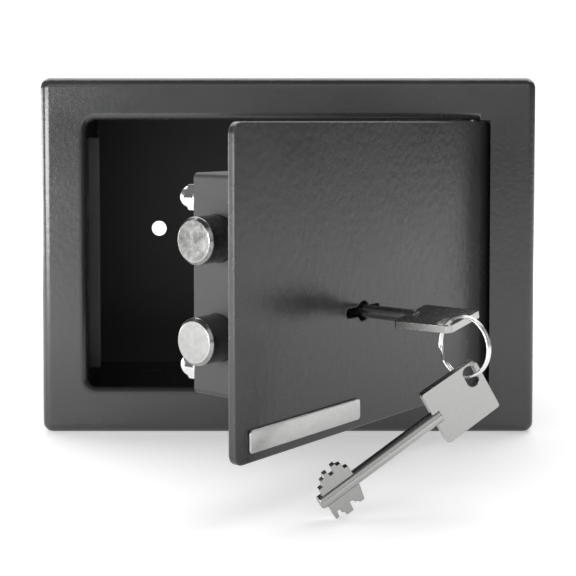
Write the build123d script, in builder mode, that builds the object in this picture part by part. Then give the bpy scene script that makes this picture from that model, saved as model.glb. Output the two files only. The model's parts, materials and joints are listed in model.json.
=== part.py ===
from build123d import *

import math
import os

# Small steel key safe with an inset hinged door, two live bolts and a double-bit lock.
# Millimetres. X right, Y away from the viewer, Z up. The origin is the middle of the base.

os.makedirs("parts", exist_ok=True)

# Driving sizes of the body
body_width = 233.0
body_height = 168.0
body_depth = 170.0
sheet = 1.5
corner_r = 4.8
front_bend_r = 4.4
opening_width = 190.0
opening_height = 126.7
opening_rise = 0.9
opening_r = 5.0
opening_hinge_r = 1.0
lip_r = 3.3
anchor_hole_d = 9.0
anchor_hole_x = 78.0
anchor_hole_z = 83.0

# Driving sizes of the door
door_gap = 0.8
door_plate_t = 3.0
door_corner_r = 4.5
hinge_inset = 6.9
pivot_depth = 7.0
hinge_tail = 4.9
door_open_deg = 51.8
hinge_pin_d = 5.0
hinge_run = 0.05
hinge_leg_gap = 1.2
bracket_t = 2.0
bracket_width = 26.0
block_length = 18.0
block_t = 8.0

# Driving sizes of the lock housing on the back of the door
box_length = 110.0
box_height = 85.1
box_free_margin = 14.3
box_rise = 0.45
box_depth = 28.8
box_wall = 1.5
box_corner_r = 2.2
cover_t = 1.0
stud_d = 6.0
stud_inset = 6.0
stud_rise = 32.8
stud_stick_out = 6.5
washer_d = 11.8
washer_t = 1.0
nut_flat_w = 10.0
nut_hex_h = 4.6
nut_dome_d = 9.4
nut_height = 10.0

# Driving sizes of the bolt work
bolt_d = 18.0
bolt_v = 21.0
bolt_spacing = 37.6
bolt_stick_out = 13.2
bolt_length = 61.2
bolt_nose = 1.2
bolt_flat = 1.6
bolt_run = 0.10
bolt_throw = 12.0
carriage_t = 2.0
keep_t = 1.5
keep_set_back = 5.0
keep_leg_reach = 6.6
keep_depth = 32.5
keep_height = 114.5
keep_hole_gap = 0.6

# Driving sizes of the key and lock
key_to_free_edge = 81.0
key_below_mid = 14.97
key_roll_deg = 9.0
key_tip_gap = 0.8
key_length = 78.5
shank_d = 5.4
bit_half_span = 10.5
bit_t = 2.4
bow_length = 25.0
bow_width = 24.0
bow_t = 2.8
bow_hole = (9.0, 5.2)
bow_hole_from_end = 4.6
bow_hole_aside = 6.0
slot_length = 24.2
slot_height = 4.2
slot_eye_d = 8.5
slot_gap = 0.3
case_base_t = 2.0
case_wall = 1.5
lever_count = 7
lever_t = 1.2
lever_pitch = 1.5
lever_bore_run = 0.06
lever_post_d = 6.0
stump_w = 3.0
gate_gap = 0.4
ring_outer_d = 24.0
ring_wire_d = 1.2
ring_yaw_deg = 7.0
ring_hang_deg = 39.7
spare_hang_deg = 12.7
spare_roll_deg = 8.83
spare_tip_z = 6.5

# Sizes that follow from the ones above
front_y = -body_depth / 2
back_y = body_depth / 2
opening_mid_z = body_height / 2 + opening_rise
open_low_z = opening_mid_z - opening_height / 2
open_high_z = opening_mid_z + opening_height / 2
door_low_z = open_low_z + door_gap
door_high_z = open_high_z - door_gap
door_height = door_high_z - door_low_z
upper_leg_z = door_high_z + hinge_leg_gap
lower_leg_z = door_low_z - hinge_leg_gap
bracket_leg = (body_height - sheet - upper_leg_z) / 2
pivot_x = opening_width / 2 - hinge_inset
door_free_u = pivot_x + opening_width / 2 - door_gap
box_far_u = door_free_u - box_free_margin
box_near_u = box_far_u - box_length
box_mid_z = opening_mid_z + box_rise
box_low_z = box_mid_z - box_height / 2
box_high_z = box_mid_z + box_height / 2
box_rear_v = door_plate_t + box_depth
cover_rear_v = box_rear_v + cover_t
bolt_mid_z = opening_mid_z - 0.4
bolt_low_z = bolt_mid_z - bolt_spacing / 2
bolt_high_z = bolt_mid_z + bolt_spacing / 2
bolt_tip_u = box_far_u + bolt_stick_out
bolt_root_u = bolt_tip_u - bolt_length
carriage_v = bolt_v + bolt_d / 2 - bolt_flat
key_u = door_free_u - key_to_free_edge
key_z = opening_mid_z - key_below_mid
key_tip_v = box_rear_v - key_tip_gap
bit_first_v = key_tip_v - 16.5
lever_first_v = bit_first_v + 0.1
guide_rear_v = bit_first_v - 0.6
case_floor_v = door_plate_t + case_base_t
lip_run_x = opening_width / 2 - opening_r
open_rad = math.radians(door_open_deg)
toward_free = Vector(-math.cos(open_rad), -math.sin(open_rad), 0)
outward = Vector(math.sin(open_rad), -math.cos(open_rad), 0)
up = Vector(0, 0, 1)
hinge_foot = Vector(pivot_x, front_y + pivot_depth, 0)


def depth_y(depth):
    """Y of a plane that lies this far behind the front face of the body."""
    return front_y + depth


def door_face(v):
    """Plane parallel to the open door, v behind its front face: x toward the hinge, y up."""
    return Plane(origin=hinge_foot + outward * (pivot_depth - v), x_dir=-toward_free, z_dir=outward)


def door_level(z):
    """Horizontal plane at height z on the open door: x toward the hinge, y into the safe."""
    return Plane(origin=hinge_foot + Vector(0, 0, z), x_dir=-toward_free, z_dir=(0, 0, 1))


def door_edge(u, v, z):
    """Plane whose normal points to the free edge of the door, centred on one bolt axis."""
    start = hinge_foot + toward_free * u + outward * (pivot_depth - v) + Vector(0, 0, z)
    return Plane(origin=start, x_dir=(0, 0, 1), z_dir=toward_free)


def door_point(u, v, z):
    """World position of a point given by its place on the door."""
    return hinge_foot + toward_free * u + outward * (pivot_depth - v) + up * z


def lock_spot(du, dz):
    """Sketch point on a door plane, measured from the key's axis toward the free edge and up."""
    return (-(key_u + du), key_z + dz)


def last_rim(builder):
    """Edges of a door piece that lie deepest behind the door."""
    return builder.edges().group_by(Axis(door_point(0, 0, 0), -outward))[-1]


# Body shell: folded sheet, every outer edge of the front rounded, opening edge rolled inward
with BuildPart() as body_shell:
    with BuildSketch(Plane.XZ.offset(-front_y)) as front_outline:
        with Locations((0, body_height / 2)):
            RectangleRounded(body_width, body_height, corner_r)
    extrude(amount=-body_depth)
    fillet(body_shell.edges().group_by(Axis.Y)[0], front_bend_r)
    with BuildSketch(Plane.XZ.offset(-front_y - sheet)) as cavity_outline:
        with Locations((0, body_height / 2)):
            RectangleRounded(body_width - 2 * sheet, body_height - 2 * sheet, corner_r - sheet)
    extrude(amount=-(body_depth - sheet), mode=Mode.SUBTRACT)
    with BuildSketch(Plane.XZ.offset(-front_y)) as opening_outline:
        with Locations((0, opening_mid_z)):
            RectangleRounded(opening_width, opening_height, opening_r)
        # The corners beside the hinge are nearly square, so that the door's tail can swing through
        with Locations((lip_run_x, opening_mid_z)):
            RectangleRounded(2 * opening_r, opening_height, opening_hinge_r)
    extrude(amount=-2 * sheet, mode=Mode.SUBTRACT)
    with BuildSketch(Plane.XZ.offset(-front_y)) as rolled_relief:
        with Locations((0, opening_mid_z)):
            RectangleRounded(opening_width + 2 * lip_r, opening_height + 2 * lip_r, opening_r + lip_r)
        with Locations((lip_run_x + 50, opening_mid_z)):
            Rectangle(100, opening_height + 4 * lip_r, mode=Mode.SUBTRACT)
    extrude(amount=-2 * sheet, mode=Mode.SUBTRACT)
    # The rolled lip runs round three sides and stops where the hinge side begins
    with BuildLine(Plane.XZ.offset(-front_y - lip_r)) as lip_path:
        low = open_low_z
        high = open_high_z
        left = -opening_width / 2
        r = opening_r
        Line((lip_run_x, high), (left + r, high))
        RadiusArc((left + r, high), (left, high - r), -r)
        Line((left, high - r), (left, low + r))
        RadiusArc((left, low + r), (left + r, low), -r)
        Line((left + r, low), (lip_run_x, low))
    with BuildSketch(Plane(origin=(lip_run_x, front_y + lip_r, open_high_z), x_dir=(0, -1, 0), z_dir=(-1, 0, 0))):
        with BuildLine():
            inner_r = lip_r - sheet
            Line((0, 0), (0, sheet))
            RadiusArc((0, sheet), (inner_r, lip_r), -inner_r)
            Line((inner_r, lip_r), (lip_r, lip_r))
            RadiusArc((lip_r, lip_r), (0, 0), lip_r)
        make_face()
    sweep(path=lip_path.wires()[0])
body_shell.part.label = "body_shell"

# Back panel: plate set in flush between the shell walls, with the anchor holes
with BuildPart() as back_panel:
    with BuildSketch(Plane.XZ.offset(-back_y + sheet)) as back_outline:
        with Locations((0, body_height / 2)):
            RectangleRounded(body_width - 2 * sheet, body_height - 2 * sheet, corner_r - sheet)
        with Locations((-anchor_hole_x, anchor_hole_z), (anchor_hole_x, anchor_hole_z)):
            Circle(anchor_hole_d / 2, mode=Mode.SUBTRACT)
    extrude(amount=-sheet)
back_panel.part.label = "back_panel"

# Bolt keep: angle behind the free-edge lip that the bolts shoot through
keep_x = -opening_width / 2 - keep_set_back
keep_leg_x = keep_x + keep_leg_reach
keep_low_z = opening_mid_z - keep_height / 2 - 2.6
with BuildPart() as bolt_keep:
    with BuildSketch(Plane.XY.offset(keep_low_z)) as keep_section:
        with BuildLine():
            Polyline(
                (keep_x, depth_y(sheet)),
                (keep_x + keep_t, depth_y(sheet)),
                (keep_x + keep_t, depth_y(keep_depth)),
                (keep_leg_x, depth_y(keep_depth)),
                (keep_leg_x, depth_y(keep_depth + keep_t)),
                (keep_x, depth_y(keep_depth + keep_t)),
                close=True,
            )
        make_face()
    extrude(amount=keep_height)
    outer_bend = (keep_x, depth_y(keep_depth + keep_t), opening_mid_z)
    fillet(bolt_keep.edges().filter_by(Axis.Z).sort_by_distance(outer_bend)[0], keep_t)
    with BuildSketch(Plane.YZ.offset(keep_x)) as keep_holes:
        with Locations((depth_y(bolt_v), bolt_low_z), (depth_y(bolt_v), bolt_high_z)):
            Circle(bolt_d / 2 + keep_hole_gap)
    extrude(amount=keep_t, mode=Mode.SUBTRACT)
bolt_keep.part.label = "bolt_keep"


def hinge_bracket(leg_z, away):
    """Angle welded to the end of the rolled lip; its level leg carries one hinge pin."""
    reach = pivot_depth + 6
    with BuildPart() as bracket:
        with BuildSketch(Plane.YZ.offset(pivot_x - bracket_width / 2 + 1)):
            with BuildLine():
                Polyline(
                    (depth_y(lip_r), leg_z),
                    (depth_y(reach), leg_z),
                    (depth_y(reach), leg_z + away * bracket_t),
                    (depth_y(lip_r + bracket_t), leg_z + away * bracket_t),
                    (depth_y(lip_r + bracket_t), leg_z + away * bracket_leg),
                    (depth_y(lip_r), leg_z + away * bracket_leg),
                    close=True,
                )
            make_face()
        extrude(amount=bracket_width)
        with BuildSketch(Plane.XY.offset(min(leg_z, leg_z + away * bracket_t))):
            with Locations((pivot_x, depth_y(pivot_depth))):
                Circle(hinge_pin_d / 2 + hinge_run)
        extrude(amount=bracket_t, mode=Mode.SUBTRACT)
        rear = bracket.faces().sort_by(Axis.Y)[-1].edges().filter_by(Axis.Z)
        fillet(rear, 4)
    return bracket.part


hinge_bracket_upper = hinge_bracket(upper_leg_z, 1)
hinge_bracket_upper.label = "hinge_bracket_upper"
hinge_bracket_lower = hinge_bracket(lower_leg_z, -1)
hinge_bracket_lower.label = "hinge_bracket_lower"

# Thrust washer that carries the weight of the door on the lower bracket
with BuildPart() as hinge_washer:
    with BuildSketch(Plane.XY.offset(lower_leg_z)):
        with Locations((pivot_x, depth_y(pivot_depth))):
            Circle(min(hinge_pin_d / 2 + 1.0, pivot_depth - lip_r - 0.2))
            Circle(hinge_pin_d / 2 + 0.1, mode=Mode.SUBTRACT)
    extrude(amount=hinge_leg_gap - 0.05)
hinge_washer.part.label = "hinge_washer"

# Door plate: thick flat plate with the keyhole, its edges broken, blind holes for the lock screws
screw_spots = [lock_spot(-27.8, -9.1), lock_spot(10.9, -9.1), lock_spot(-27.8, 36.6), lock_spot(10.9, 36.6)]
screw_r = 2.0
screw_bite = 1.4
with BuildPart() as door_plate:
    with BuildSketch(door_face(0)) as door_outline:
        with Locations(((hinge_tail - door_free_u) / 2, opening_mid_z)):
            RectangleRounded(door_free_u + hinge_tail, door_height, door_corner_r)
    extrude(amount=-door_plate_t)
    fillet(door_plate.faces().sort_by_distance(door_point(door_free_u / 2, 0, opening_mid_z))[0].edges(), 0.5)
    with BuildSketch(door_face(0)) as keyhole:
        with Locations((-key_u, key_z)):
            SlotOverall(slot_length, slot_height)
            Circle(slot_eye_d / 2)
    extrude(amount=-door_plate_t, mode=Mode.SUBTRACT)
    with BuildSketch(door_face(door_plate_t)):
        with Locations(*screw_spots):
            Circle(screw_r + 0.03)
    extrude(amount=screw_bite + 0.05, mode=Mode.SUBTRACT)
door_plate.part.label = "door_plate"

# Hinge blocks welded to the back of the plate, one at each end
block_rear_v = door_plate_t + block_t


def hinge_block(low_z):
    with BuildPart() as block:
        with BuildSketch(door_level(low_z)):
            with BuildLine():
                Polyline(
                    (hinge_tail, door_plate_t - pivot_depth),
                    (hinge_tail, block_rear_v - pivot_depth),
                    (-hinge_tail - 2, block_rear_v - pivot_depth),
                    (-hinge_tail - 7, door_plate_t - pivot_depth),
                    close=True,
                )
            make_face()
        extrude(amount=block_length)
        rear = block.edges().filter_by(Axis.Z).sort_by_distance(door_point(-hinge_tail, block_rear_v, low_z))
        fillet(rear[0], 2.5)
        with BuildSketch(door_level(low_z)):
            Circle(hinge_pin_d / 2)
        extrude(amount=block_length, mode=Mode.SUBTRACT)
    return block.part


hinge_block_upper = hinge_block(door_high_z - block_length)
hinge_block_upper.label = "hinge_block_upper"
hinge_block_lower = hinge_block(door_low_z)
hinge_block_lower.label = "hinge_block_lower"


def hinge_pin(low_z, length):
    with BuildPart() as pin:
        with BuildSketch(door_level(low_z)):
            Circle(hinge_pin_d / 2)
        extrude(amount=length)
        chamfer(pin.edges().group_by(Axis.Z)[0], 0.5)
        chamfer(pin.edges().group_by(Axis.Z)[-1], 0.5)
    return pin.part


pin_length = block_length + hinge_leg_gap + bracket_t
hinge_pin_upper = hinge_pin(door_high_z - block_length, pin_length)
hinge_pin_upper.label = "hinge_pin_upper"
hinge_pin_lower = hinge_pin(door_low_z + block_length - pin_length, pin_length)
hinge_pin_lower.label = "hinge_pin_lower"

# Lock housing: four-sided box of sheet on the back of the door, bolt holes in its free-edge side
with BuildPart() as lock_housing:
    with BuildSketch(door_face(door_plate_t)) as housing_outline:
        with Locations((-(box_near_u + box_far_u) / 2, box_mid_z)):
            RectangleRounded(box_length, box_height, box_corner_r)
            RectangleRounded(
                box_length - 2 * box_wall,
                box_height - 2 * box_wall,
                box_corner_r - box_wall,
                mode=Mode.SUBTRACT,
            )
    extrude(amount=-(box_rear_v - door_plate_t))
    for bolt_z in (bolt_low_z, bolt_high_z):
        with BuildSketch(door_edge(box_far_u - 2 * box_wall, bolt_v, bolt_z)):
            Circle(bolt_d / 2 + bolt_run)
        extrude(amount=3 * box_wall, mode=Mode.SUBTRACT)
lock_housing.part.label = "lock_housing"

stud_spots = [
    (-(box_far_u - stud_inset), box_mid_z + stud_rise),
    (-(box_far_u - stud_inset), box_mid_z - stud_rise),
    (-(box_near_u + stud_inset), box_mid_z + stud_rise),
    (-(box_near_u + stud_inset), box_mid_z - stud_rise),
]

# Cover plate that closes the housing from inside the safe
with BuildPart() as lock_cover:
    with BuildSketch(door_face(box_rear_v)) as cover_outline:
        with Locations((-(box_near_u + box_far_u) / 2, box_mid_z)):
            RectangleRounded(box_length, box_height, box_corner_r)
        with Locations(*stud_spots):
            Circle(stud_d / 2 + 0.3, mode=Mode.SUBTRACT)
    extrude(amount=-cover_t)
lock_cover.part.label = "lock_cover"

# Four studs welded to the back of the door plate
with BuildPart() as cover_studs:
    with BuildSketch(door_face(door_plate_t)):
        with Locations(*stud_spots):
            Circle(stud_d / 2)
    extrude(amount=-(cover_rear_v + washer_t + stud_stick_out - door_plate_t))
    chamfer(last_rim(cover_studs), 0.6)
cover_studs.part.label = "cover_studs"

# Washers under the cap nuts
with BuildPart() as cover_washers:
    with BuildSketch(door_face(cover_rear_v)):
        with Locations(*stud_spots):
            Circle(washer_d / 2)
            Circle(stud_d / 2 + 0.2, mode=Mode.SUBTRACT)
    extrude(amount=-washer_t)
    chamfer(last_rim(cover_washers), 0.2)
cover_washers.part.label = "cover_washers"

# Domed cap nuts: a hexagon run up into a closed dome, drilled blind for the stud
with BuildPart() as cap_nuts:
    nut_seat_v = cover_rear_v + washer_t
    for spot in stud_spots:
        with BuildSketch(door_face(nut_seat_v)):
            with Locations(spot):
                RegularPolygon(nut_flat_w / 2, 6, major_radius=False)
        extrude(amount=-nut_hex_h)
        nut_axis_u = -spot[0]
        side = Plane(origin=door_point(nut_axis_u, nut_seat_v, spot[1]), x_dir=(0, 0, 1), z_dir=toward_free)
        with BuildSketch(side):
            with BuildLine():
                dome_r = nut_dome_d / 2
                Line((0, 0), (dome_r, 0))
                Line((dome_r, 0), (dome_r, nut_height - dome_r))
                RadiusArc((dome_r, nut_height - dome_r), (0, nut_height), -dome_r)
                Line((0, nut_height), (0, 0))
            make_face()
        revolve(axis=Axis(side.origin, outward), revolution_arc=360)
    with BuildSketch(door_face(nut_seat_v)):
        with Locations(*stud_spots):
            Circle(stud_d / 2 + 0.05)
    extrude(amount=-(stud_stick_out + 0.5), mode=Mode.SUBTRACT)
cap_nuts.part.label = "cap_nuts"

# Lock case: open tray screwed to the back of the door around the key
case_width = 49.7
case_height = 56.0
case_rim_v = lever_first_v + lever_count * lever_pitch + 0.3
case_mid = lock_spot(-8.45, 14.07)
case_top_in = case_mid[1] + case_height / 2 - case_wall
with BuildPart() as lock_case:
    with BuildSketch(door_face(door_plate_t)):
        with Locations(case_mid):
            RectangleRounded(case_width, case_height, 2)
    extrude(amount=-(case_rim_v - door_plate_t))
    with BuildSketch(door_face(door_plate_t + case_base_t)):
        with Locations(case_mid):
            RectangleRounded(case_width - 2 * case_wall, case_height - 2 * case_wall, 0.5)
    extrude(amount=-case_rim_v, mode=Mode.SUBTRACT)
    with BuildSketch(door_face(door_plate_t)):
        with Locations((-key_u, key_z)):
            SlotOverall(slot_length, slot_height)
            Circle(slot_eye_d / 2)
        with Locations(*screw_spots):
            Circle(screw_r + 0.1)
    extrude(amount=-case_base_t, mode=Mode.SUBTRACT)
lock_case.part.label = "lock_case"

# Screws that hold the tray
with BuildPart() as case_screws:
    with BuildSketch(door_face(door_plate_t - screw_bite)):
        with Locations(*screw_spots):
            Circle(screw_r)
    extrude(amount=-(case_floor_v - door_plate_t + screw_bite))
    with BuildSketch(door_face(case_floor_v)):
        with Locations(*screw_spots):
            Circle(3.0)
    extrude(amount=-2.2)
    fillet(last_rim(case_screws), 0.8)
    with BuildSketch(door_face(case_floor_v + 1.2)):
        with Locations(*screw_spots):
            Rectangle(8, 1)
    extrude(amount=-2, mode=Mode.SUBTRACT)
case_screws.part.label = "case_screws"

# Key guide: the slot is carried on through this block, so the key can only turn behind it
with BuildPart() as key_guide:
    with BuildSketch(door_face(case_floor_v)):
        with Locations((-key_u, key_z)):
            RectangleRounded(slot_length + 3.8, slot_height + 7.3, 1.5)
            SlotOverall(slot_length, slot_height, mode=Mode.SUBTRACT)
            Circle(slot_eye_d / 2, mode=Mode.SUBTRACT)
    extrude(amount=-(guide_rear_v - case_floor_v))
key_guide.part.label = "key_guide"

# Lever pivot post with a collar that sets the first lever clear of the guide
pivot_spot = lock_spot(-25.3, 26.07)
with BuildPart() as lever_post:
    with BuildSketch(door_face(case_floor_v)):
        with Locations(pivot_spot):
            Circle(lever_post_d / 2 + 1.5)
    extrude(amount=-(lever_first_v - 0.2 - case_floor_v))
    with BuildSketch(door_face(case_floor_v)):
        with Locations(pivot_spot):
            Circle(lever_post_d / 2)
    extrude(amount=-(case_rim_v + 1.8 - case_floor_v))
    chamfer(last_rim(lever_post), 0.5)
lever_post.part.label = "lever_post"

# Lever pack: each lever is lifted by one step of the key until its gate meets the stump
stump_du = -8.3
stump_dz = 24.07
lever_top_dz = 34.57
with BuildPart() as lever_pack:
    for n in range(lever_count):
        pocket_h = 8.0 + 0.6 * ((n * 3) % 4)
        with BuildSketch(door_face(lever_first_v + n * lever_pitch)):
            with BuildLine():
                Polyline(
                    lock_spot(-25.3, 32.57), lock_spot(2.7, lever_top_dz), lock_spot(7.7, 31.07),
                    lock_spot(7.7, bit_half_span + 0.1), lock_spot(-9.3, bit_half_span + 0.1),
                    lock_spot(-21.3, 19.5), lock_spot(-25.3, 19.57),
                    close=True,
                )
            make_face()
            with Locations(pivot_spot):
                Circle(lever_post_d / 2 + 3.5)
            with Locations(lock_spot(0, 0)):
                Circle(bit_half_span + 0.9, mode=Mode.SUBTRACT)
            with Locations(pivot_spot):
                Circle(lever_post_d / 2 + lever_bore_run, mode=Mode.SUBTRACT)
            with Locations(lock_spot(stump_du, stump_dz), lock_spot(stump_du + bolt_throw, stump_dz)):
                Rectangle(stump_w + 2.4, pocket_h, mode=Mode.SUBTRACT)
            with Locations(lock_spot(stump_du + bolt_throw / 2, stump_dz)):
                Rectangle(bolt_throw, stump_w + 2 * gate_gap, mode=Mode.SUBTRACT)
        extrude(amount=-lever_t)
lever_pack.part.label = "lever_pack"

# Lever springs: one bent leaf for each lever, pressing down from the wall of the tray
leaf_t = 0.4
foot_dz = case_top_in - key_z
with BuildPart() as lever_springs:
    for n in range(lever_count):
        with BuildSketch(door_face(lever_first_v + n * lever_pitch + 0.1)):
            with BuildLine():
                Polyline(
                    lock_spot(-22.3, foot_dz), lock_spot(-16.1, foot_dz),
                    lock_spot(-2.3, lever_top_dz + 0.22), lock_spot(0.2, lever_top_dz + 0.6),
                    lock_spot(0.2, lever_top_dz + 0.6 - leaf_t), lock_spot(-2.3, lever_top_dz + 0.22 - leaf_t),
                    lock_spot(-16.3, foot_dz - leaf_t), lock_spot(-22.3, foot_dz - leaf_t),
                    close=True,
                )
            make_face()
        extrude(amount=-(lever_t - 0.2))
lever_springs.part.label = "lever_springs"

# Bolt carriage: plate across both bolts with a tail over the key, a talon and the lock stump
post_run = 0.1
post_spots = [(bolt_root_u + 25, bolt_mid_z, 3.0), (bolt_root_u + 1.5, bolt_mid_z + 4.8, 2.5)]
talon_dz = 8.9
carriage_end_u = bolt_root_u + 32
bolt_reach = bolt_d / 2 - 0.8
tail_low_z = key_z + 11.57
tail_high_z = key_z + 33.07
tail_tip_u = key_u - 20.8
with BuildPart() as bolt_carriage:
    with BuildSketch(door_face(carriage_v)) as carriage_outline:
        with BuildLine():
            Polyline(
                (-carriage_end_u, bolt_low_z - bolt_reach),
                (-carriage_end_u, bolt_high_z + bolt_reach),
                (-bolt_root_u, bolt_high_z + bolt_reach),
                (-bolt_root_u + 6, tail_high_z),
                (-tail_tip_u, tail_high_z),
                (-tail_tip_u, tail_low_z),
                (-bolt_root_u + 6, tail_low_z),
                (-bolt_root_u, tail_low_z - 5.5),
                (-bolt_root_u, bolt_low_z - bolt_reach),
                close=True,
            )
        make_face()
        for post_u, post_z, post_r in post_spots:
            with Locations((-(post_u - bolt_throw / 2), post_z)):
                SlotOverall(bolt_throw + 2 * (post_r + post_run), 2 * (post_r + post_run), mode=Mode.SUBTRACT)
    extrude(amount=-carriage_t)
    with BuildSketch(door_face(carriage_v)) as talon:
        with BuildLine():
            Polyline(
                lock_spot(-21.5, 16.07), lock_spot(12.7, 16.07), lock_spot(12.7, talon_dz), lock_spot(7.7, talon_dz),
                lock_spot(7.7, talon_dz + 2.5), lock_spot(-19.6, talon_dz + 2.5), lock_spot(-19.6, talon_dz),
                lock_spot(-21.5, talon_dz),
                close=True,
            )
        make_face()
    extrude(amount=carriage_v - case_rim_v - 0.5)
    with BuildSketch(door_face(carriage_v)) as stump:
        with Locations(lock_spot(stump_du, stump_dz)):
            Rectangle(stump_w, stump_w)
    extrude(amount=carriage_v - lever_first_v + 0.2)

carriage_screw_spots = [
    (-(bolt_root_u + 8), bolt_low_z), (-(bolt_root_u + 20), bolt_low_z),
    (-(bolt_root_u + 8), bolt_high_z), (-(bolt_root_u + 20), bolt_high_z),
]
with BuildPart() as carriage_drilling:
    with BuildSketch(door_face(bolt_v + 2)):
        with Locations(*carriage_screw_spots):
            Circle(screw_r + 0.02)
    extrude(amount=-12)
bolt_carriage_drilled = bolt_carriage.part - carriage_drilling.part
bolt_carriage_drilled.label = "bolt_carriage"


def live_bolt(axis_z):
    """Round bolt with a chamfered nose and a flat milled where the carriage is screwed on."""
    with BuildPart() as bolt:
        with BuildSketch(door_edge(bolt_root_u, bolt_v, axis_z)):
            Circle(bolt_d / 2)
        extrude(amount=bolt_length)
        rims = bolt.edges().filter_by(GeomType.CIRCLE)
        nose = rims.sort_by_distance(door_point(bolt_tip_u, bolt_v, axis_z))[0]
        chamfer(nose, bolt_nose)
        with BuildSketch(door_face(carriage_v)):
            with Locations((-(bolt_root_u + 15.5), axis_z)):
                Rectangle(34, bolt_d + 2)
        extrude(amount=-2 * bolt_flat, mode=Mode.SUBTRACT)
    drilled = bolt.part - carriage_drilling.part
    return drilled


live_bolt_upper = live_bolt(bolt_high_z)
live_bolt_upper.label = "live_bolt_upper"
live_bolt_lower = live_bolt(bolt_low_z)
live_bolt_lower.label = "live_bolt_lower"

# Button-head screws that hold the bolts to the carriage
with BuildPart() as bolt_screws:
    with BuildSketch(door_face(bolt_v + 2.2)):
        with Locations(*carriage_screw_spots):
            Circle(screw_r)
    extrude(amount=-(carriage_v + carriage_t - bolt_v - 2.2))
    with BuildSketch(door_face(carriage_v + carriage_t)):
        with Locations(*carriage_screw_spots):
            Circle(3.5)
    extrude(amount=-1.1)
    chamfer(last_rim(bolt_screws), 0.4)
bolt_screws.part.label = "bolt_screws"

# Guide posts on the door plate that the carriage slots run on
with BuildPart() as guide_posts:
    for post_u, post_z, post_r in post_spots:
        with BuildSketch(door_face(door_plate_t)):
            with Locations((-post_u, post_z)):
                Circle(post_r)
        extrude(amount=-(box_rear_v - 0.2 - door_plate_t))
guide_posts.part.label = "guide_posts"

# Double-bit key, drawn from its tip: distance from the tip, height of the step
lever_side_steps = [
    (2.3, 0.0), (2.6, 5.4), (4.4, 5.6), (4.6, 7.9), (6.3, 8.1), (6.6, 9.5), (8.4, 9.6), (8.7, 7.4),
    (10.4, 7.4), (10.7, 10.3), (12.4, 10.5), (12.7, 9.3), (14.3, 9.1), (14.6, 6.6), (16.2, 6.3), (16.5, 0.0),
]
talon_side_steps = [
    (2.3, 0.0), (2.3, 8.9), (3.8, 8.9), (4.1, 6.4), (5.1, 6.4), (5.5, 8.3), (6.4, 8.5), (6.5, 10.2),
    (9.6, 10.2), (9.9, 6.5), (10.9, 6.5), (11.8, 7.9), (12.6, 8.1), (13.3, 9.2), (15.2, 9.2), (16.5, 2.6), (16.5, 0.0),
]


def double_bit_key(seat):
    """Key on a plane whose origin is the tip, x along the shank and y across the bits."""
    ends = Plane(origin=seat.origin, x_dir=seat.y_dir, z_dir=seat.x_dir)
    with BuildPart() as key:
        with BuildSketch(ends):
            Circle(shank_d / 2)
        extrude(amount=key_length - bow_length + 3)
        chamfer(key.edges().filter_by(GeomType.CIRCLE).sort_by_distance(seat.origin)[0], 0.7)
        with BuildSketch(seat):
            with BuildLine():
                Polyline(*[(s, h) for s, h in lever_side_steps], close=True)
            make_face()
            with BuildLine():
                Polyline(*[(s, -h) for s, h in talon_side_steps], close=True)
            make_face()
        extrude(amount=bit_t / 2, both=True)
        with BuildSketch(seat) as bow:
            start = key_length - bow_length
            half = bow_width / 2
            with BuildLine():
                Polyline(
                    (start, half), (key_length - 1.5, half - 0.8), (key_length, half - 2.6), (key_length, -half),
                    (start, -half),
                    close=True,
                )
            make_face()
            fillet(bow.vertices(), 1.3)
            with Locations((key_length - bow_hole_from_end, bow_hole_aside)):
                SlotOverall(bow_hole[0], bow_hole[1], rotation=90, mode=Mode.SUBTRACT)
        extrude(amount=bow_t / 2, both=True)
    return key.part


# The working key sits in the lock, just past the slot; it turns about the keyhole axis
roll = math.radians(key_roll_deg)
across = toward_free * math.cos(roll) - up * math.sin(roll)
door_key_tip = door_point(key_u, key_tip_v, key_z)
door_key = double_bit_key(Plane(origin=door_key_tip, x_dir=outward, z_dir=outward.cross(across)))
door_key.label = "door_key"
hole_along = key_length - bow_hole_from_end
door_key_hole = door_key_tip + outward * hole_along + across * bow_hole_aside

# Split ring: hangs in the bow hole, turned a little across the door
yaw = math.radians(ring_yaw_deg)
hang = math.radians(ring_hang_deg)
ring_reach = outward * math.cos(yaw) + toward_free * math.sin(yaw)
ring_side = toward_free * math.cos(yaw) - outward * math.sin(yaw)
ring_mid_r = (ring_outer_d - ring_wire_d) / 2
ring_centre = door_key_hole + (ring_reach * math.cos(hang) - up * math.sin(hang)) * (ring_mid_r - 0.3)
with BuildPart() as split_ring:
    for side in (-1, 1):
        turn_mid = ring_centre + ring_side * (side * ring_wire_d * 0.47)
        wire_plane = Plane(origin=turn_mid + ring_reach * ring_mid_r, x_dir=ring_reach, z_dir=up)
        with BuildSketch(wire_plane):
            Circle(ring_wire_d / 2)
        revolve(axis=Axis(turn_mid, ring_side), revolution_arc=360)
split_ring.part.label = "split_ring"

# Spare key: hangs in the ring and leans out until one corner of its bit meets the table
swing = math.radians(spare_hang_deg)
spare_hole = ring_centre + (ring_reach * math.sin(swing) - up * math.cos(swing)) * (ring_mid_r - 0.38)
spare_rise = (spare_hole.Z - spare_tip_z - 0.834 * bow_hole_aside) / hole_along
spare_level = math.sqrt(1 - spare_rise**2)
spare_heading = outward * 0.58934 - toward_free * 0.80789
spare_along = spare_heading * spare_level + up * spare_rise
spare_rest = up * spare_level - spare_heading * spare_rise
spare_roll = math.radians(spare_roll_deg)
spare_across = spare_rest * math.cos(spare_roll) + spare_along.cross(spare_rest) * math.sin(spare_roll)
spare_tip = spare_hole - spare_along * hole_along - spare_across * bow_hole_aside
spare_key = double_bit_key(Plane(origin=spare_tip, x_dir=spare_along, z_dir=spare_along.cross(spare_across)))
spare_key.label = "spare_key"

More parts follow.
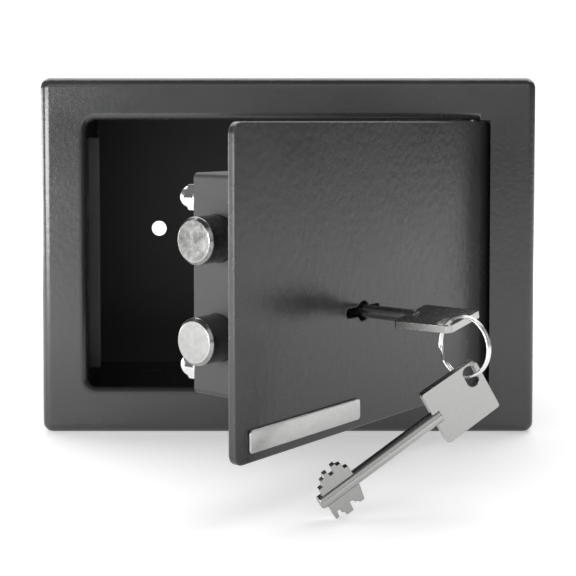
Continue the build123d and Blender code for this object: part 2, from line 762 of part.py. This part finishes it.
made = [
    body_shell.part, back_panel.part, bolt_keep.part, hinge_bracket_upper, hinge_bracket_lower, hinge_washer.part,
    door_plate.part, hinge_block_upper, hinge_block_lower, hinge_pin_upper, hinge_pin_lower, lock_housing.part,
    lock_cover.part, cover_studs.part, cover_washers.part, cap_nuts.part, lock_case.part, case_screws.part,
    key_guide.part, lever_post.part, lever_pack.part, lever_springs.part, guide_posts.part, bolt_carriage_drilled,
    live_bolt_upper, live_bolt_lower, bolt_screws.part, door_key, split_ring.part, spare_key,
]
for piece in made:
    export_step(piece, "parts/" + piece.label + ".step")
    box = piece.bounding_box()
    print(piece.label, round(piece.volume, 2), len(piece.solids()), [round(c, 2) for c in (*box.min, *box.max)])
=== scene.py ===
# %% [markdown]
# # A small steel key safe, opened
# The safe is folded from thin sheet and powder coated in anthracite. Its door stands open on the right,
# with the two round bolts and the lock box showing behind it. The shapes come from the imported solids,
# so this file only adds light, finishes and the small details that are easier to make as meshes.
# Everything here is in metres, in the same frame as the solids: X to the right, Y away, Z up.

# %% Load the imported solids
import json
import math

import bmesh
import bpy
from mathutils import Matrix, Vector


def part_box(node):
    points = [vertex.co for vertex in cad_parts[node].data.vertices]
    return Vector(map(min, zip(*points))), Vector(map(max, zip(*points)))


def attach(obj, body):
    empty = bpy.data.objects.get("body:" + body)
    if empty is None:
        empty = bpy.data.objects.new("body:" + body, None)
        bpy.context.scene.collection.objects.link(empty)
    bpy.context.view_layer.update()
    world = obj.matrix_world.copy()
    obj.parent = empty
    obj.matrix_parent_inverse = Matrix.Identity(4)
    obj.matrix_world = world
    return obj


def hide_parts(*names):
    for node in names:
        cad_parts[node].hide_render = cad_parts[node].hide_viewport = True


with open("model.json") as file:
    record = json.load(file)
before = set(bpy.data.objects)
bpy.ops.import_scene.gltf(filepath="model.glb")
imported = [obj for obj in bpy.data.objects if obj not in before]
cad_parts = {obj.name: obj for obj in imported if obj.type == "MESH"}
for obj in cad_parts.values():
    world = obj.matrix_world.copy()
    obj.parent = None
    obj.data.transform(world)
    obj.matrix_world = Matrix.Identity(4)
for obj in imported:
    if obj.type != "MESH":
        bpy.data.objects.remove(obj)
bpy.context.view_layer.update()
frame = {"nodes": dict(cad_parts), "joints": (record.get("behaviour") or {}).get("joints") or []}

scene = bpy.context.scene
solids = frame["nodes"]
mm = 0.001


def short(place):
    """Coordinates in metres, rounded for printing."""
    return [round(x, 4) for x in place]


# %% [markdown]
# ## Finding places on the open door
# The door is drawn at the angle at which it stands in the picture, so nothing on it is square to X or Y.
# It helps to speak of a place on it as u, v, z: u from the hinge toward the free edge, v behind the front
# face, z above the table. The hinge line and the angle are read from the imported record, so that they
# can't drift away from the solids.

# %% Door places
hinge = next(j for j in frame["joints"] if j["name"] == "door_hinge")
door_open = -math.radians(hinge["range_deg"][0])
face_to_hinge = 7.0  # the door's face lies this many millimetres in front of the hinge line
toward_free = Vector((-math.cos(door_open), -math.sin(door_open), 0))
outward = Vector((math.sin(door_open), -math.cos(door_open), 0))
upward = Vector((0, 0, 1))
hinge_line = Vector((hinge["pos_m"][0], hinge["pos_m"][1], 0))


def on_door(u, v, z):
    """Point on the open door, from sizes in millimetres."""
    return hinge_line + (toward_free * u + outward * (face_to_hinge - v) + upward * z) * mm


door_low_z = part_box("door_plate")[0].z / mm
print("door stands open by", round(math.degrees(door_open), 1), "degrees")
print("its lower edge is at z", round(door_low_z, 2), "mm")

# %% [markdown]
# ## Small tools for building finishes
# A finish is a graph of nodes that ends in one Principled shader. Writing out every link makes a long
# file that is hard to read, so three short helpers do it: one starts a finish, one adds a node with its
# settings, and one joins two sockets. Every grain below starts from object coordinates, which stick to
# the piece when the door swings.

# %% Finish helpers
def start_finish(name, colour, metal, rough):
    """A new material with a Principled shader, whose even values are set on its own sockets."""
    made = bpy.data.materials.new(name)
    made.use_nodes = True
    tree = made.node_tree
    shader = tree.nodes["Principled BSDF"]
    shader.inputs["Base Color"].default_value = (*colour, 1)
    shader.inputs["Metallic"].default_value = metal
    shader.inputs["Roughness"].default_value = rough
    return made, tree, shader


def add(tree, kind, settings=None, **values):
    """Adds a node; settings are its own properties, values go to its sockets by name."""
    node = tree.nodes.new("ShaderNode" + kind)
    for key, value in (settings or {}).items():
        setattr(node, key, value)
    for key, value in values.items():
        node.inputs[key.replace("_", " ")].default_value = value
    return node


def join(tree, start, end):
    """Links an output socket to an input socket."""
    tree.links.new(start, end)


def place_of(tree, stretch=(1, 1, 1), turn=0.0):
    """Object coordinates in metres, turned about Z and then stretched, as a vector socket."""
    where = add(tree, "TexCoord")
    turned = add(tree, "Mapping", {"vector_type": "POINT"})
    turned.inputs["Rotation"].default_value = (0, 0, turn)
    join(tree, where.outputs["Object"], turned.inputs["Vector"])
    scaled = add(tree, "VectorMath", {"operation": "MULTIPLY"})
    scaled.inputs[1].default_value = stretch
    join(tree, turned.outputs["Vector"], scaled.inputs[0])
    return scaled.outputs[0]


def cloud(tree, place, size_mm, detail=2.0, rough=0.5):
    """Noise whose lumps are about size_mm across, as a grey socket from 0 to 1."""
    lumps = add(tree, "TexNoise", Scale=1000 / size_mm, Detail=detail, Roughness=rough)
    join(tree, place, lumps.inputs["Vector"])
    return lumps.outputs["Fac"]


def spread(tree, source, low, high, from_low=0.3, from_high=0.7):
    """Maps a grey socket to a range of values."""
    mapped = add(tree, "MapRange")
    mapped.inputs["From Min"].default_value = from_low
    mapped.inputs["From Max"].default_value = from_high
    mapped.inputs["To Min"].default_value = low
    mapped.inputs["To Max"].default_value = high
    join(tree, source, mapped.inputs["Value"])
    return mapped.outputs["Result"]


def tint(tree, source, dark, light):
    """Blends from one colour to another by a grey socket."""
    mixed = add(tree, "Mix", {"data_type": "RGBA"})
    mixed.inputs[6].default_value = (*dark, 1)
    mixed.inputs[7].default_value = (*light, 1)
    join(tree, source, mixed.inputs[0])
    return mixed.outputs[2]


def soft_edges(tree, radius_mm):
    """A normal that rounds sharp edges over a small radius, as paint and polishing do."""
    rounded = add(tree, "Bevel", {"samples": 4}, Radius=radius_mm * mm)
    return rounded.outputs["Normal"]


def relief(tree, height, depth_mm, under):
    """Bump from a grey socket, on top of another normal."""
    bump = add(tree, "Bump", Strength=1.0, Distance=depth_mm * mm)
    join(tree, height, bump.inputs["Height"])
    join(tree, under, bump.inputs["Normal"])
    return bump.outputs["Normal"]


def edge_mask(tree, radius_mm):
    """Grey socket that is high along edges: where the rounded normal leaves the true one."""
    rounded = add(tree, "Bevel", {"samples": 4}, Radius=radius_mm * mm)
    flat = add(tree, "NewGeometry")
    near = add(tree, "VectorMath", {"operation": "DOT_PRODUCT"})
    join(tree, rounded.outputs["Normal"], near.inputs[0])
    join(tree, flat.outputs["True Normal"], near.inputs[1])
    return spread(tree, near.outputs["Value"], 1.0, 0.0, 0.80, 0.995)


# %% [markdown]
# ## Powder coat
# Powder coat is sprayed dry and baked, so it flows a little and keeps a fine skin like orange peel. On a
# dark colour the skin shows only where light grazes it. A single noise looks too even, so a broad one
# moves the gloss and tone slowly, a middle one gives the peel and a fine one the grit of the powder. The
# edges are lighter: partly the coat thinning there, partly a painted highlight. The door has a coat of its
# own, with a broader peel, a darker colour as painted shade, and edges nine times as light, which paint the
# long bright line down its free edge as a highlight.

# %% Powder coat finishes
def powder_coat(name, dark, light, rough_low, rough_high, peel_mm, peel_depth,
                index=1.5, round_mm=0.45, edge_gain=1.9):
    """Baked powder coat with orange peel, fine grit and edges edge_gain times as light, part thin coat,
    part painted highlight.
    """
    broad_mm, grit_mm, grit_depth = 34, 0.34, 0.006
    made, tree, shader = start_finish(name, light, 0.0, rough_high)
    place = place_of(tree)
    broad = cloud(tree, place, broad_mm, 3.0)
    peel = cloud(tree, place, peel_mm, 1.5, 0.45)
    grit = cloud(tree, place, grit_mm, 2.0, 0.6)
    edges = edge_mask(tree, round_mm)
    body = tint(tree, spread(tree, broad, 0, 1), dark, light)
    speck = tint(tree, spread(tree, grit, 0, 1, 0.35, 0.75),
                 (0.88, 0.88, 0.88), (1.10, 1.10, 1.11))
    toned = add(tree, "Mix", {"data_type": "RGBA", "blend_type": "MULTIPLY"})
    toned.inputs[0].default_value = 1.0
    join(tree, body, toned.inputs[6])
    join(tree, speck, toned.inputs[7])
    # Painted highlight: the edges get a lighter base colour, partly for the thinner coat there and partly
    # for the light they catch.
    wear_and_sheen = add(tree, "Mix", {"data_type": "RGBA"})
    wear_and_sheen.inputs[7].default_value = (*[min(1, c * edge_gain) for c in light], 1)
    join(tree, spread(tree, edges, 0.0, 0.45, 0.0, 1.0), wear_and_sheen.inputs[0])
    join(tree, toned.outputs[2], wear_and_sheen.inputs[6])
    join(tree, wear_and_sheen.outputs[2], shader.inputs["Base Color"])
    gloss = add(tree, "Math", {"operation": "ADD"})
    join(tree, spread(tree, broad, rough_low, rough_high), gloss.inputs[0])
    join(tree, spread(tree, peel, -0.02, 0.02), gloss.inputs[1])
    join(tree, gloss.outputs[0], shader.inputs["Roughness"])
    skin = relief(tree, peel, peel_depth, soft_edges(tree, round_mm))
    join(tree, relief(tree, grit, grit_depth, skin), shader.inputs["Normal"])
    shader.inputs["IOR"].default_value = index
    return made


body_coat = powder_coat(
    "anthracite_coat", (0.025, 0.0255, 0.027), (0.031, 0.0315, 0.033), 0.20, 0.26,
    peel_mm=2.2, peel_depth=0.075, index=1.6)
# Painted shade and highlight: the door has the body's paint, but a darker colour shades it where the front
# lamps light it more, and edge_gain 9 paints its bright edge line.
door_coat = powder_coat(
    "anthracite_coat_door", (0.020, 0.0205, 0.022), (0.026, 0.0265, 0.028), 0.22, 0.28,
    peel_mm=3.2, peel_depth=0.08, round_mm=1.1, edge_gain=9.0)
# Painted light: the inside coat is the same anthracite as the outside but about two and a half times as
# light, which lifts the shade inside the safe.
inner_coat = powder_coat(
    "anthracite_coat_inside", (0.062, 0.0625, 0.064), (0.075, 0.0755, 0.077), 0.46, 0.56,
    peel_mm=1.9, peel_depth=0.035)
housing_coat = powder_coat(
    "grey_coat_lock_box", (0.024, 0.0245, 0.026), (0.031, 0.0315, 0.033), 0.52, 0.58,
    peel_mm=1.3, peel_depth=0.03)
print("powder coats:", body_coat.name, door_coat.name, inner_coat.name, housing_coat.name)

# %% [markdown]
# ## Turned and polished nickel on the bolts
# The bolts are cut from round bar on a lathe, so their sides carry fine rings and their ends a fan of
# circles, all under thin nickel. Both patterns come from the same idea: measure how far a point lies
# along the bolt and how far from its axis, and feed those two lengths to noise instead of X, Y and Z.
# The faces are mottled, darker on the upper bolt than on the lower one, and their rims take a lighter metal
# colour, a painted highlight.

# %% Turned nickel
def turned_metal(name, dark, light, rough_low, rough_high, axis_point, mottle_low):
    """Lathe-turned metal about an axis that runs along the door's u through a given point."""
    line_mm, line_depth, mark_mm, rim_mm = 0.5, 0.003, 2.4, 0.7
    made, tree, shader = start_finish(name, light, 1.0, rough_high)
    where = add(tree, "TexCoord")
    shifted = add(tree, "VectorMath", {"operation": "SUBTRACT"})
    shifted.inputs[1].default_value = axis_point
    join(tree, where.outputs["Object"], shifted.inputs[0])
    along = add(tree, "VectorMath", {"operation": "DOT_PRODUCT"})
    along.inputs[1].default_value = toward_free
    join(tree, shifted.outputs[0], along.inputs[0])
    line = add(tree, "VectorMath", {"operation": "SCALE"})
    line.inputs[0].default_value = toward_free
    join(tree, along.outputs["Value"], line.inputs["Scale"])
    away = add(tree, "VectorMath", {"operation": "SUBTRACT"})
    join(tree, shifted.outputs[0], away.inputs[0])
    join(tree, line.outputs[0], away.inputs[1])
    radius = add(tree, "VectorMath", {"operation": "LENGTH"})
    join(tree, away.outputs[0], radius.inputs[0])
    lathe = add(tree, "CombineXYZ")
    join(tree, along.outputs["Value"], lathe.inputs["X"])
    join(tree, radius.outputs["Value"], lathe.inputs["Y"])
    rings = cloud(tree, lathe.outputs[0], line_mm, 3.0, 0.6)
    patches = cloud(tree, shifted.outputs[0], 6.0, 2.0)
    scuffs = cloud(tree, place_of(tree, (1, 1, 6)), 1.1, 3.0, 0.7)
    ringed = tint(tree, spread(tree, rings, 0, 1, 0.25, 0.75), dark, light)
    marks = cloud(tree, shifted.outputs[0], mark_mm, 4.0, 0.7)
    mottle = tint(tree, spread(tree, marks, 0, 1, 0.36, 0.62), (mottle_low, mottle_low, mottle_low), (1.08, 1.08, 1.08))
    marked = add(tree, "Mix", {"data_type": "RGBA", "blend_type": "MULTIPLY"})
    marked.inputs[0].default_value = 1.0
    join(tree, ringed, marked.inputs[6])
    join(tree, mottle, marked.inputs[7])
    # Painted highlight: a light metal colour along the edge mask paints the bright ring on the chamfered
    # rims.
    rim = add(tree, "Mix", {"data_type": "RGBA"})
    rim.inputs[7].default_value = (0.82, 0.82, 0.81, 1)
    join(tree, edge_mask(tree, rim_mm), rim.inputs[0])
    join(tree, marked.outputs[2], rim.inputs[6])
    join(tree, rim.outputs[2], shader.inputs["Base Color"])
    wear_and_sheen = add(tree, "Math", {"operation": "ADD"})
    join(tree, spread(tree, patches, rough_low, rough_high), wear_and_sheen.inputs[0])
    join(tree, spread(tree, scuffs, -0.03, 0.05), wear_and_sheen.inputs[1])
    join(tree, wear_and_sheen.outputs[0], shader.inputs["Roughness"])
    join(tree, relief(tree, rings, line_depth, soft_edges(tree, 0.5)), shader.inputs["Normal"])
    shader.inputs["Anisotropic"].default_value = 0.35
    return made


def bolt_axis(node):
    """Middle of a bolt's box, which lies on its axis."""
    low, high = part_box(node)
    return (low + high) / 2


upper_axis, lower_axis = bolt_axis("live_bolt_upper"), bolt_axis("live_bolt_lower")
upper_bolt_metal = turned_metal(
    "turned_nickel_upper", (0.21, 0.209, 0.205), (0.31, 0.308, 0.304), 0.16, 0.24, upper_axis, mottle_low=0.55)
lower_bolt_metal = turned_metal(
    "turned_nickel_lower", (0.24, 0.239, 0.235), (0.29, 0.288, 0.284), 0.16, 0.22, lower_axis, mottle_low=0.93)
print("bolt axes:", short(upper_axis), short(lower_axis))

# %% [markdown]
# ## Plain metals
# The rest of the metal is stamped, drawn or plated. What tells these apart is less the colour than the
# direction of the fine lines and how cloudy the shine is. One helper covers them all: long thin noise for
# the lines, a broad noise for clouds, and a few scratches cut out of a stretched noise.

# %% Metal finishes
def drawn_metal(name, dark, light, rough_low, rough_high, grain, line_mm, depth=0.006, edge_mm=0.2):
    """Metal with a fine directional grain, clouded gloss and a few scratches."""
    cloud_mm, mark_mm, mark_turn = 9, 5, 0.6
    made, tree, shader = start_finish(name, light, 1.0, rough_high)
    lines = cloud(tree, place_of(tree, grain), line_mm, 3.0, 0.65)
    clouds = cloud(tree, place_of(tree), cloud_mm, 3.0)
    marks = cloud(tree, place_of(tree, (1, 7, 1), mark_turn), mark_mm, 4.0, 0.75)
    lined = tint(tree, spread(tree, lines, 0, 1, 0.25, 0.75), dark, light)
    join(tree, lined, shader.inputs["Base Color"])
    gloss = add(tree, "Math", {"operation": "ADD"})
    join(tree, spread(tree, clouds, rough_low, rough_high), gloss.inputs[0])
    join(tree, spread(tree, marks, 0.0, 0.08, 0.58, 0.66), gloss.inputs[1])
    join(tree, gloss.outputs[0], shader.inputs["Roughness"])
    join(tree, relief(tree, lines, depth, soft_edges(tree, edge_mm)), shader.inputs["Normal"])
    return made


bright_nickel = drawn_metal(
    "bright_nickel", (0.68, 0.68, 0.67), (0.77, 0.77, 0.76), 0.22, 0.28,
    grain=(1, 1, 1), line_mm=6, depth=0.002, edge_mm=0.25)
plain_steel = drawn_metal(
    "cold_rolled_steel", (0.36, 0.36, 0.355), (0.47, 0.47, 0.46), 0.30, 0.42,
    grain=(3, 3, 30), line_mm=6)
# Painted shade: the hinge pins are made near black so that their tips show no glint in the dark hinge gap.
pin_steel = drawn_metal(
    "darkened_pin_steel", (0.10, 0.10, 0.10), (0.15, 0.15, 0.15), 0.42, 0.52,
    grain=(3, 3, 30), line_mm=6)
zinc_steel = drawn_metal(
    "zinc_plated_steel", (0.50, 0.51, 0.52), (0.62, 0.61, 0.57), 0.26, 0.38,
    grain=(1, 1, 3), line_mm=4)
lever_brass = drawn_metal(
    "stamped_brass", (0.52, 0.38, 0.17), (0.66, 0.51, 0.25), 0.24, 0.36,
    grain=(2, 2, 16), line_mm=5)
key_nickel = drawn_metal(
    "satin_nickel_key", (0.36, 0.358, 0.35), (0.42, 0.418, 0.41), 0.22, 0.26,
    grain=(9, 9, 34), line_mm=7, depth=0.003, edge_mm=0.3)
badge_nickel = drawn_metal(
    "satin_nickel_badge", (0.42, 0.42, 0.415), (0.58, 0.58, 0.575), 0.26, 0.36,
    grain=(2, 2, 60), line_mm=8, depth=0.004, edge_mm=0.3)
metals = (bright_nickel, plain_steel, pin_steel, zinc_steel, lever_brass, key_nickel, badge_nickel)
print("metals:", [metal.name for metal in metals])

# %% [markdown]
# ## Dressing the solids
# Each solid came with one plain material named after its slot in the record. Swapping that one material
# keeps the shape as it is, and is all that most of them need. Seven solids share a slot with others but
# look different in the picture, so these get a finish by name.

# %% Give every solid its finish
finish_of_slot = {
    "body_paint": body_coat,
    "inner_paint": inner_coat,
    "housing_paint": housing_coat,
    "bright_nickel": bright_nickel,
    "plain_steel": plain_steel,
    "zinc_steel": zinc_steel,
    "lever_brass": lever_brass,
    "key_nickel": key_nickel,
}
finish_of_solid = {
    "live_bolt_upper": upper_bolt_metal,
    "live_bolt_lower": lower_bolt_metal,
    "hinge_pin_upper": pin_steel,
    "hinge_pin_lower": pin_steel,
    "door_plate": door_coat,
    "hinge_block_upper": door_coat,
    "hinge_block_lower": door_coat,
}
for name, solid in solids.items():
    if name in finish_of_solid:
        solid.data.materials[0] = finish_of_solid[name]
    else:
        slot_name = solid.data.materials[0].name.split(".")[0]
        solid.data.materials[0] = finish_of_slot[slot_name]
print("finishes given to", len(solids), "solids")

# %% [markdown]
# ## Blank badge plate
# A thin satin plate sits low on the door beside the free edge. It could be a cube with a texture, but a
# real plate has rounded corners and a small rolled edge that draws a bright line round it. So its outline
# is drawn as corners with arcs, pushed out to its thickness, and a bevel rounds the outer edge.

# %% Badge plate
def plate_from_outline(name, outline, origin, across, up_dir, push, thickness_mm):
    """A flat plate: a 2-D outline in millimetres placed at origin, pushed along push."""
    mesh = bpy.data.meshes.new(name)
    shape = bmesh.new()
    ring = [shape.verts.new(origin + (across * x + up_dir * y) * mm) for x, y in outline]
    face = shape.faces.new(ring)
    grown = bmesh.ops.extrude_face_region(shape, geom=[face])
    for item in grown["geom"]:
        if isinstance(item, bmesh.types.BMVert):
            item.co += push * thickness_mm * mm
    bmesh.ops.recalc_face_normals(shape, faces=shape.faces)
    shape.to_mesh(mesh)
    shape.free()
    piece = bpy.data.objects.new(name, mesh)
    scene.collection.objects.link(piece)
    return piece


def rounded_rectangle(width, height, radius, steps=8):
    """Corner points of a rectangle with rounded corners, about its middle."""
    points = []
    for turn, (cx, cy) in enumerate([(1, 1), (-1, 1), (-1, -1), (1, -1)]):
        for k in range(steps + 1):
            angle = math.pi / 2 * (turn + k / steps)
            x = cx * (width / 2 - radius) + radius * math.cos(angle)
            y = cy * (height / 2 - radius) + radius * math.sin(angle)
            points.append((x, y))
    return points


def round_edges(piece, radius_mm, steps=3):
    """Adds a bevel to the edges of a piece that are sharper than 40 degrees, and shades it smoothly."""
    bevel = piece.modifiers.new("rounded", "BEVEL")
    bevel.width = radius_mm * mm
    bevel.segments = steps
    bevel.limit_method = "ANGLE"
    bevel.angle_limit = math.radians(40)
    piece.data.shade_smooth()
    return piece


badge_wide, badge_high, badge_corner, badge_thick, badge_round = 70, 8.6, 1.4, 1.2, 0.35
badge_middle = on_door(140, 0, door_low_z + 8.0)
badge = plate_from_outline(
    "badge_plate", rounded_rectangle(badge_wide, badge_high, badge_corner), badge_middle,
    toward_free, upward, outward, badge_thick)
badge.data.materials.append(badge_nickel)
round_edges(badge, badge_round)
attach(badge, "door")
print("badge plate points:", len(badge.data.vertices))

# %% [markdown]
# ## Split ring
# A split ring is one springy wire wound twice. Two plain rings side by side would hide what makes it work:
# the short crank where the wire steps from one turn to the other, and its two cut ends. So the wire is
# drawn as a path that goes round twice and steps sideways once, with a round section swept along it.

# %% Split ring wire
ring_low, ring_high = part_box("split_ring")
ring_centre = (ring_low + ring_high) / 2
ring_yaw = math.radians(7)
ring_reach = outward * math.cos(ring_yaw) + toward_free * math.sin(ring_yaw)
ring_side = toward_free * math.cos(ring_yaw) - outward * math.sin(ring_yaw)
wire_d, ring_d = 1.2, 24.0
ring_mid_r = (ring_d - wire_d) / 2
side_step = 0.47 * wire_d


def ease(t):
    """Smooth step from 0 to 1."""
    t = max(0.0, min(1.0, t))
    return t * t * (3 - 2 * t)


def ring_wire_path(crank_deg, half_crank_deg, points, end_gap_deg=2):
    """Points of a wire wound twice, that steps from one side to the other once."""
    path = []
    for k in range(points + 1):
        angle = half_crank_deg + end_gap_deg + (720 - 2 * (half_crank_deg + end_gap_deg)) * k / points
        step = ease((angle - 360 + half_crank_deg) / (2 * half_crank_deg))
        turn = math.radians(crank_deg + angle)
        side = side_step * (2 * step - 1)
        round_point = (ring_reach * math.cos(turn) + upward * math.sin(turn)) * ring_mid_r
        path.append(ring_centre + (round_point + ring_side * side) * mm)
    return path


def wire_from_path(name, path, radius_mm):
    """A round wire swept along a path, with flat cut ends."""
    line = bpy.data.curves.new(name, "CURVE")
    line.dimensions = "3D"
    line.bevel_depth = radius_mm * mm
    line.bevel_resolution = 5
    line.use_fill_caps = True
    run = line.splines.new("POLY")
    run.points.add(len(path) - 1)
    for point, place in zip(run.points, path):
        point.co = (*place, 1)
    piece = bpy.data.objects.new(name, line)
    scene.collection.objects.link(piece)
    return piece


ring_wire = wire_from_path("split_ring_wire", ring_wire_path(205, 13, 240), wire_d / 2)
ring_wire.data.materials.append(bright_nickel)
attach(ring_wire, "ring")
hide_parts("split_ring")
print("split ring centre:", short(ring_centre), "wire", wire_d, "mm")

# %% [markdown]
# ## Weld beads
# The hinge brackets and the bolt keep are welded to the rolled lip, and the weld shows as a rippled bead
# under the coat. A plain tube looks like glue. Here the bead's thickness rises and falls along its length,
# one ripple for each dip of the wire, and it fades out at both ends.

# %% Weld beads
def weld_bead(name, start, end, radius_mm):
    """A rippled weld bead on the safe's body, between two points in metres."""
    ripple_mm, step_mm, fade = 1.3, 0.35, 0.12
    start, end = Vector(start), Vector(end)
    length = (end - start).length
    steps = max(12, int(length / (step_mm * mm)))
    line = bpy.data.curves.new(name, "CURVE")
    line.dimensions = "3D"
    line.bevel_depth = radius_mm * mm
    line.bevel_resolution = 3
    line.use_fill_caps = True
    run = line.splines.new("POLY")
    run.points.add(steps)
    for k, point in enumerate(run.points):
        t = k / steps
        point.co = (*start.lerp(end, t), 1)
        ends = ease(t / fade) * ease((1 - t) / fade)
        ripple = math.sin(t * length / mm / ripple_mm * math.tau)
        point.radius = (0.25 + 0.75 * ends) * (0.88 + 0.12 * ripple)
    bead = bpy.data.objects.new(name, line)
    scene.collection.objects.link(bead)
    bead.data.materials.append(inner_coat)
    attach(bead, "safe")
    return bead


beads = 0
for part_name, on_top in (("hinge_bracket_upper", True), ("hinge_bracket_lower", False)):
    low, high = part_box(part_name)
    y, z = low.y + 0.2 * mm, high.z if on_top else low.z
    weld_bead(f"weld_{part_name}", (low.x + 3 * mm, y, z), (high.x - 3 * mm, y, z), 0.8)
    beads += 1
keep_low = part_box("bolt_keep")[0]
keep_x, keep_y = keep_low.x - 0.1 * mm, keep_low.y + 0.5 * mm
keep_welds = {"low": (0.03, 0.046), "middle": (0.077, 0.092), "high": (0.119, 0.135)}
for place, (z0, z1) in keep_welds.items():
    weld_bead(f"weld_bolt_keep_{place}", (keep_x, keep_y, z0), (keep_x, keep_y, z1), 0.8)
    beads += 1
panel_low, panel_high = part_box("back_panel")
panel_y, half_weld = panel_low.y - 0.1 * mm, 0.006
for column, x in (("left", panel_low.x + 0.2 * mm), ("right", panel_high.x - 0.2 * mm)):
    for row, z in (("low", 0.030), ("middle", 0.084), ("high", 0.138)):
        start, end = (x, panel_y, z - half_weld), (x, panel_y, z + half_weld)
        weld_bead(f"weld_back_{column}_{row}", start, end, 0.9)
        beads += 1
print("weld beads:", beads)

# %% [markdown]
# ## Table and background
# The picture is a catalogue picture on pure white. A white table that is lit from above, and a white world
# behind it, give that without hiding how the safe stands: a faint contact shadow stays. The table is one
# large plane. It glows a little, more in the distance than near the safe, so that the far part doesn't
# turn grey, and a little less in front.

# %% Table
def white_table():
    """A broad pale plane at the height of the safe's base."""
    mesh = bpy.data.meshes.new("table")
    reach = 6.0
    corners = [(-reach, -reach, 0), (reach, -reach, 0), (reach, reach, 0), (-reach, reach, 0)]
    mesh.from_pydata(corners, [], [(0, 1, 2, 3)])
    table = bpy.data.objects.new("table", mesh)
    scene.collection.objects.link(table)
    made, tree, shader = start_finish("white_table", (0.86, 0.86, 0.86), 0.0, 0.7)
    shader.inputs["Specular IOR Level"].default_value = 0.2
    place = place_of(tree)
    tone = tint(tree, cloud(tree, place, 400, 2.0), (0.85, 0.85, 0.85), (0.87, 0.87, 0.87))
    join(tree, tone, shader.inputs["Base Color"])
    shader.inputs["Emission Color"].default_value = (1, 1, 1, 1)
    away = add(tree, "VectorMath", {"operation": "LENGTH"})
    join(tree, place, away.inputs[0])
    apart = add(tree, "SeparateXYZ")
    join(tree, place, apart.inputs[0])
    glow = add(tree, "Math", {"operation": "MULTIPLY"})
    join(tree, spread(tree, away.outputs["Value"], 0.38, 0.95, 0.20, 0.65), glow.inputs[0])
    join(tree, spread(tree, apart.outputs["Y"], 0.70, 1.0, -1.3, -0.45), glow.inputs[1])
    join(tree, glow.outputs[0], shader.inputs["Emission Strength"])
    mesh.materials.append(made)


white_table()
world = bpy.data.worlds.new("studio") if scene.world is None else scene.world
scene.world = world
world.use_nodes = True
sky = world.node_tree
sky.nodes.clear()
seen = add(sky, "LightPath")
room = add(sky, "Background", Color=(1, 1, 1, 1), Strength=0.13)
white = add(sky, "Background", Color=(1, 1, 1, 1), Strength=1.1)
choose = add(sky, "MixShader")
sky_out = add(sky, "OutputWorld")
join(sky, seen.outputs["Is Camera Ray"], choose.inputs[0])
join(sky, room.outputs[0], choose.inputs[1])
join(sky, white.outputs[0], choose.inputs[2])
join(sky, choose.outputs[0], sky_out.inputs[0])
print("table and world are white")

# %% [markdown]
# ## Studio light
# Dark paint shows little of its own colour; what reads as shape is the reflection of the lamps. A low panel
# to the left in front draws the bright line down the rolled left edge and lights the bolts, and a second
# one farther back lights the outline of that side. A large weak panel in front lifts the door and gives the
# keys something to reflect, and a broad one overhead whitens the table and leaves the contact shadow. The
# two low panels barely rise above the safe, because their reflection would turn its flat top white.

# %% Lamps
def soft_box(name, place, target, width, height, power):
    """A rectangular area lamp that faces a target, with its power in watts."""
    lamp = bpy.data.lights.new(name, "AREA")
    lamp.shape = "RECTANGLE"
    lamp.size, lamp.size_y = width, height
    lamp.energy = power
    holder = bpy.data.objects.new(name, lamp)
    scene.collection.objects.link(holder)
    holder.location = place
    holder.rotation_mode = "QUATERNION"
    holder.rotation_quaternion = (Vector(target) - Vector(place)).to_track_quat("-Z", "Y")


soft_box("left_front_panel", (-0.46, -0.53, 0.115), (-0.10, -0.083, 0.095),
         width=0.40, height=0.17, power=3.0)
soft_box("left_back_panel", (-0.50, 0.09, 0.105), (-0.11, -0.08, 0.10),
         width=0.42, height=0.15, power=1.1)
soft_box("front_panel", (0.15, -1.40, 0.66), (0.0, -0.05, 0.08),
         width=1.7, height=1.0, power=4.4)
soft_box("overhead_panel", (0.10, 0.50, 1.05), (0.05, -0.15, 0.0),
         width=2.0, height=1.2, power=22.0)

# %% [markdown]
# ## Camera
# In the picture the safe's upright edges stay parallel and its eye level is near the top of the door. That
# is a camera that looks almost level, whose frame has been slid down by lens shift. A slide as long as
# the picture's would crop the views from other sides, so a tilt of a few degrees takes part of it.
# Distance and focal length come from how much smaller the mouth of the safe is at the back than in front.
# They were then refitted for the tilt, so that each corner lands within 2 pixels of where a level camera
# would put it.

# %% Camera
eye = bpy.data.cameras.new("studio_camera")
sensor_mm = 36.0
eye.sensor_width = sensor_mm
focal_px, axis_row_px, frame_px = 1252.5, 177.0, 576
look_down = math.radians(2.5)
eye.lens = focal_px * sensor_mm / frame_px
eye.shift_y = (axis_row_px - frame_px / 2) / frame_px
eye.clip_start, eye.clip_end = 0.02, 50
viewer = bpy.data.objects.new("studio_camera", eye)
scene.collection.objects.link(viewer)
viewer.location = (0.0, -0.6724, 0.1471)
viewer.rotation_euler = (math.radians(90) - look_down, 0, 0)
scene.camera = viewer
scene.view_settings.view_transform = "Standard"
scene.view_settings.look = "None"
print("lens", round(eye.lens, 2), "mm, shift", round(eye.shift_y, 4))

# %% [markdown]
# ## Last update
# The details must not make the safe bigger than its solids. The view layer is updated once more at the end.

# %% Update the view layer
bpy.context.view_layer.update()
